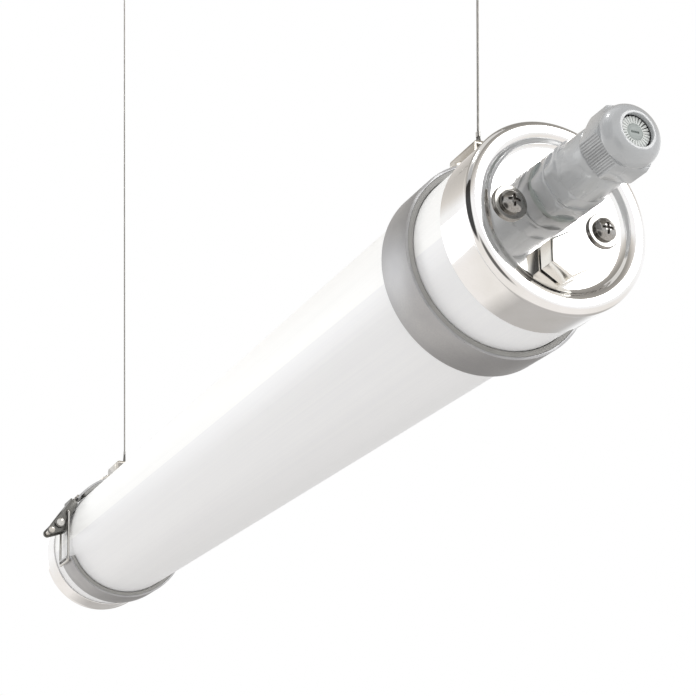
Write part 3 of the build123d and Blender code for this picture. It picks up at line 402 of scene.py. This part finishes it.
def turned(work, corners, end, centre=(0, 0), steps=160):
    """Turns an outline of (mm past the rim, radius, corner rounding) about the lamp's direction."""
    spots = []
    for along, radius, bend in corners:
        spots.append(work.verts.new((end * (rim_x + along) * mm, 0, radius * mm)))
    for first, second in zip(spots, spots[1:] + spots[:1]):
        if first.co.z > 0 or second.co.z > 0:
            work.edges.new((first, second))
    before = set(work.verts) - set(spots)
    for spot, (along, radius, bend) in zip(spots, corners):
        if bend:
            bmesh.ops.bevel(work, geom=[spot], offset=bend * mm, segments=8, profile=0.5,
                            affect="VERTICES", material=-1)
    drawn = [vert for vert in work.verts if vert not in before]
    drawn_lines = list({edge for vert in drawn for edge in vert.link_edges})
    bmesh.ops.spin(work, geom=drawn + drawn_lines, cent=(0, 0, 0), axis=(1, 0, 0), angle=2 * pi,
                   steps=steps, use_merge=True)
    made = [vert for vert in work.verts if vert not in before]
    bmesh.ops.translate(work, verts=made, vec=(0, centre[0] * mm, centre[1] * mm - axis_drop))
    bmesh.ops.remove_doubles(work, verts=made, dist=merge_gap)


# Extruded polycarbonate: smooth and glossy, with faint lines along the extrusion.
# The white part is opaque. The opal part is painted a little greyer: painted shade for the dark gear behind
# it taking light away.
opal, tree, surface = new_surface("extruded_polycarbonate")
place = add_node(tree, "ShaderNodeTexCoord").outputs["Object"]
tube_height = add_node(tree, "ShaderNodeSeparateXYZ", {"Vector": place}).outputs["Z"]
side = add_node(tree, "ShaderNodeMapRange", {
    "Value": tube_height, "From Min": seam_height - seam_blur, "From Max": seam_height + seam_blur})
along_lines = 1 / (extrusion_run_mm * mm)
across_lines = 1 / (extrusion_line_mm * mm)
stretched = add_node(tree, "ShaderNodeMapping", {
    "Vector": place, "Scale": (along_lines, across_lines, across_lines)})
drawn_lines = add_node(tree, "ShaderNodeTexNoise", {
    "Vector": stretched.outputs[0], "Scale": 1.0, "Detail": 2.0})
# Opal colour: its own opal tone, painted greyer as shade from the gear inside the tube.
opal_painted_shade = add_node(tree, "ShaderNodeValToRGB", {"Fac": drawn_lines.outputs["Fac"]}, stops=[
    (0.3, srgb("F0F0F2")), (0.7, srgb("F3F3F4"))])
white_shade = add_node(tree, "ShaderNodeValToRGB", {"Fac": drawn_lines.outputs["Fac"]}, stops=[
    (0.3, srgb("FAFAF9")), (0.7, srgb("FDFDFC"))])
tube_tone_and_painted_shade = add_node(tree, "ShaderNodeMix", {
    0: side.outputs[0], 6: opal_painted_shade.outputs[0], 7: white_shade.outputs[0]}, data_type="RGBA")
tube_gloss = add_node(tree, "ShaderNodeMapRange", {
    "Value": drawn_lines.outputs["Fac"], "From Min": 0.3, "From Max": 0.7, "To Min": 0.28, "To Max": 0.36})
tube_relief = add_node(tree, "ShaderNodeBump", {
    "Height": drawn_lines.outputs["Fac"], "Strength": 0.03, "Distance": 0.05 * mm})
tree.links.new(tube_tone_and_painted_shade.outputs[2], surface.inputs["Base Color"])
tree.links.new(tube_gloss.outputs[0], surface.inputs["Roughness"])
tree.links.new(tube_relief.outputs[0], surface.inputs["Normal"])
surface.inputs["IOR"].default_value = 1.58

tube_work = bmesh.new()
far_end = -2 * rim_x - tube_end
turned(tube_work, [
    (tube_end, tube_bore, bore_edge),
    (tube_end, tube_radius, tube_edge),
    (far_end, tube_radius, tube_edge),
    (far_end, tube_bore, bore_edge),
], end=1)
finished(tube_work, "diffuser_tube", "lamp", ["tube"], opal)


# End caps and their seals: cups drawn from stainless sheet and mirror polished, with a round shoulder,
# a flat crest and a face that slopes in to a disc. A silicone ring lies in each hollow shoulder.
skirt_end = -20.0
skirt_inner = 40.2
skirt_outer = 40.8
skirt_lip_inner = 0.1
skirt_lip_outer = 0.2
flare_start = -1.5
flare_end = -0.6
flare_round = 0.3
inner_flare_start = -1.2
inner_flare_end = -0.5
inner_flare_round = 0.2
shoulder_outer = 41.2
crest_face = 3.0
crest_inner = 34.2
disc_face = 0.0
disc_radius = 31.2
sheet = 0.6
slope_shift = 0.25
seal_middle = 38.2
seal_radius = 2.2
seal_round = 0.99 * seal_radius
buffed_patch_mm = 16
buff_line_mm = 0.6
full_round = 2.99
inner_round = full_round - sheet
sheet_bend = 1.7

# Mirror polished stainless: clear reflections, softened in patches where the buff was heavier.
mirror_stainless, tree, surface = new_surface("mirror_polished_stainless")
place = add_node(tree, "ShaderNodeTexCoord").outputs["Object"]
buffing = add_node(tree, "ShaderNodeTexNoise", {
    "Vector": place, "Scale": 1 / (buffed_patch_mm * mm), "Detail": 4.0})
buff_lines = add_node(tree, "ShaderNodeTexNoise", {
    "Vector": place, "Scale": 1 / (buff_line_mm * mm), "Detail": 2.0})
cap_shade = add_node(tree, "ShaderNodeValToRGB", {"Fac": buffing.outputs["Fac"]}, stops=[
    (0.3, srgb("F2F1EF")), (0.7, srgb("FBFAFA"))])
cap_gloss = add_node(tree, "ShaderNodeMapRange", {
    "Value": buffing.outputs["Fac"], "From Min": 0.3, "From Max": 0.7, "To Min": 0.05, "To Max": 0.10})
cap_relief = add_node(tree, "ShaderNodeBump", {
    "Height": buff_lines.outputs["Fac"], "Strength": 0.02, "Distance": 0.02 * mm})
tree.links.new(cap_shade.outputs[0], surface.inputs["Base Color"])
tree.links.new(cap_gloss.outputs[0], surface.inputs["Roughness"])
tree.links.new(cap_relief.outputs[0], surface.inputs["Normal"])
surface.inputs["Metallic"].default_value = 1.0

# Black silicone: dark and matt.
seal_rubber = bloomed_rubber("moulded_black_silicone", "1C1C1C", "262626", 0.5)

for end_name, end in ends:
    cap_work = bmesh.new()
    turned(cap_work, [
        (skirt_end, skirt_inner, skirt_lip_inner),
        (skirt_end, skirt_outer, skirt_lip_outer),
        (flare_start, skirt_outer, flare_round),
        (flare_end, shoulder_outer, flare_round),
        (crest_face, shoulder_outer, full_round),
        (crest_face, crest_inner, sheet_bend),
        (disc_face, disc_radius, sheet_bend),
        (disc_face, 0, 0),
        (disc_face - sheet, 0, 0),
        (disc_face - sheet, disc_radius + slope_shift, sheet_bend),
        (crest_face - sheet, crest_inner + slope_shift, sheet_bend),
        (crest_face - sheet, shoulder_outer - sheet, inner_round),
        (inner_flare_end, shoulder_outer - sheet, inner_flare_round),
        (inner_flare_start, skirt_inner, inner_flare_round),
    ], end, steps=240)
    finished(cap_work, f"{end_name}_cup", "lamp", [f"{end_name}_cap"],
             mirror_stainless, crease=50)
    seal_work = bmesh.new()
    turned(seal_work, [
        (step * seal_radius, seal_middle + rise * seal_radius, seal_round)
        for step, rise in ((-1, -1), (1, -1), (1, 1), (-1, 1))
    ], end, steps=120)
    finished(seal_work, f"{end_name}_ring", "lamp", [f"{end_name}_seal"], seal_rubber)


# Cap screws and washers: two plated pan head screws with a cross recess in each cap, on wide
# stamped washers. They hold the cap on the lugs of the tray inside.

# Plated screw: small sharp reflections. Stamped washer: a little duller.
chrome_screw = grained_metal("bright_plated_screw", "92908D", "B6B4B1", 0.06, 0.12, 0.5)
washer_steel = grained_metal("stamped_stainless_washer", "94928E", "B0AEAA", 0.08, 0.16, 0.6)
washer_spots = ((21.29, -2.13), (-21.29, 2.13))
washer_hole = 2.75
washer_radius = 7.5
washer_sheet = 1.2
washer_burr = 0.1
washer_edge = 0.2
washer_crown = 0.5

washer_work = bmesh.new()
for _, end in ends:
    for across, up in washer_spots:
        turned(washer_work, [
            (disc_face, washer_hole, washer_burr),
            (disc_face, washer_radius, washer_edge),
            (disc_face + washer_sheet, washer_radius, washer_crown),
            (disc_face + washer_sheet, washer_hole, washer_edge),
        ], end, centre=(end * across, up), steps=72)
finished(washer_work, "washers", "lamp", ["cap_washers"], washer_steel)
finished(softened("cap_screws", 0.12), "screws", "lamp", ["cap_screws"], chrome_screw)


# Cable gland: moulded grey nylon body and ribbed nut, with a pale rubber seal whose fingers close on
# the cable, and a grey plug that keeps dust out until then. A grey ring seals its foot on the cap.
plastic_flow_mm = 12
plastic_skin_mm = 0.35


def moulded_plastic(name, dark, light, low_rough, high_rough):
    """Moulded plastic with slight shade changes and a fine satin skin."""
    made, tree, surface = new_surface(name)
    place = add_node(tree, "ShaderNodeTexCoord").outputs["Object"]
    flow = add_node(tree, "ShaderNodeTexNoise", {
        "Vector": place, "Scale": 1 / (plastic_flow_mm * mm), "Detail": 4.0})
    skin = add_node(tree, "ShaderNodeTexNoise", {
        "Vector": place, "Scale": 1 / (plastic_skin_mm * mm), "Detail": 2.0})
    shade = add_node(tree, "ShaderNodeValToRGB", {"Fac": flow.outputs["Fac"]}, stops=[
        (0.3, srgb(dark)), (0.7, srgb(light))])
    gloss = add_node(tree, "ShaderNodeMapRange", {
        "Value": flow.outputs["Fac"], "From Min": 0.3, "From Max": 0.7,
        "To Min": low_rough, "To Max": high_rough})
    relief = add_node(tree, "ShaderNodeBump", {
        "Height": skin.outputs["Fac"], "Strength": 0.06, "Distance": 0.03 * mm})
    tree.links.new(shade.outputs[0], surface.inputs["Base Color"])
    tree.links.new(gloss.outputs[0], surface.inputs["Roughness"])
    tree.links.new(relief.outputs[0], surface.inputs["Normal"])
    surface.inputs["IOR"].default_value = 1.53
    return made


# Moulded nylon: mid grey, with a glossy skin from the mould. The rubbers beside it are matt.
grey_nylon = moulded_plastic("moulded_grey_nylon", "B0B2B4", "B8BABC", 0.24, 0.32)
nylon_skin = grey_nylon.node_tree.nodes["Principled BSDF"]
nylon_skin.inputs["Coat Weight"].default_value = 0.9
nylon_skin.inputs["Coat Roughness"].default_value = 0.06
pale_seal = bloomed_rubber("moulded_pale_rubber", "E8ECEA", "F4F6F4", 0.5)
plug_rubber = bloomed_rubber("moulded_plug_rubber", "A2A9A7", "ACB3B0", 0.45)

finished(softened("gland_body", 0.3), "gland_barrel", "lamp", ["gland_body"], grey_nylon)
finished(softened("gland_nut", 0.12), "gland_cap_nut", "gland_nut", ["gland_nut"], grey_nylon)
finished(softened("gland_seal", 0.1), "gland_fingers", "gland_insert", ["gland_seal"],
         pale_seal)
finished(softened("dust_plug", 0.15), "gland_plug", "gland_insert", ["dust_plug"], plug_rubber)
dress("gland_flat_seal", plug_rubber)
dress("gland_locknut", grey_nylon)


# Vent plug: tall hexagon head, nickel plated, with a rubber washer below it and a nut inside the cap.
# It lets the air in the tube breathe and keeps water out.

# Satin nickel: pale and faintly warm, with soft reflections.
satin_nickel = grained_metal("satin_nickel_plate", "F2F0EA", "FBF9F4", 0.12, 0.18, 0.4)
finished(softened("vent_plug", 0.2), "vent_head", "lamp", ["vent_plug"], satin_nickel)
dress("vent_seal", seal_rubber)
dress("vent_nut", satin_stainless)


# Gear inside the tube: an aluminium tray with lugs and screws, LED boards below it, and the driver,
# terminal block and leads above it.

# Mill finish aluminium has a soft silver sheen. Solder mask, phosphor gel, case and leads are satin plastics.
mill_aluminium = grained_metal("mill_finish_aluminium", "C6C8CA", "D6D8DA", 0.28, 0.40, 1.0)
solder_mask = moulded_plastic("white_solder_mask", "EDEDEA", "F2F2F0", 0.35, 0.45)
phosphor = moulded_plastic("phosphor_gel", "DCC65A", "E8D36B", 0.20, 0.30)
white_case = moulded_plastic("moulded_white_case", "E6E6E4", "EEEEEC", 0.38, 0.48)
lead_jacket = moulded_plastic("extruded_lead_jacket", "3A3A3D", "464649", 0.35, 0.45)

for node in ("gear_tray", "tray_lugs"):
    dress(node, mill_aluminium)
for node in ("tray_screws", "board_screws"):
    dress(node, satin_stainless)
dress("led_boards", solder_mask)
dress("led_chips", phosphor)
for node in ("driver", "terminal_block"):
    dress(node, white_case)
for node in ("mains_leads", "led_leads"):
    dress(node, lead_jacket)
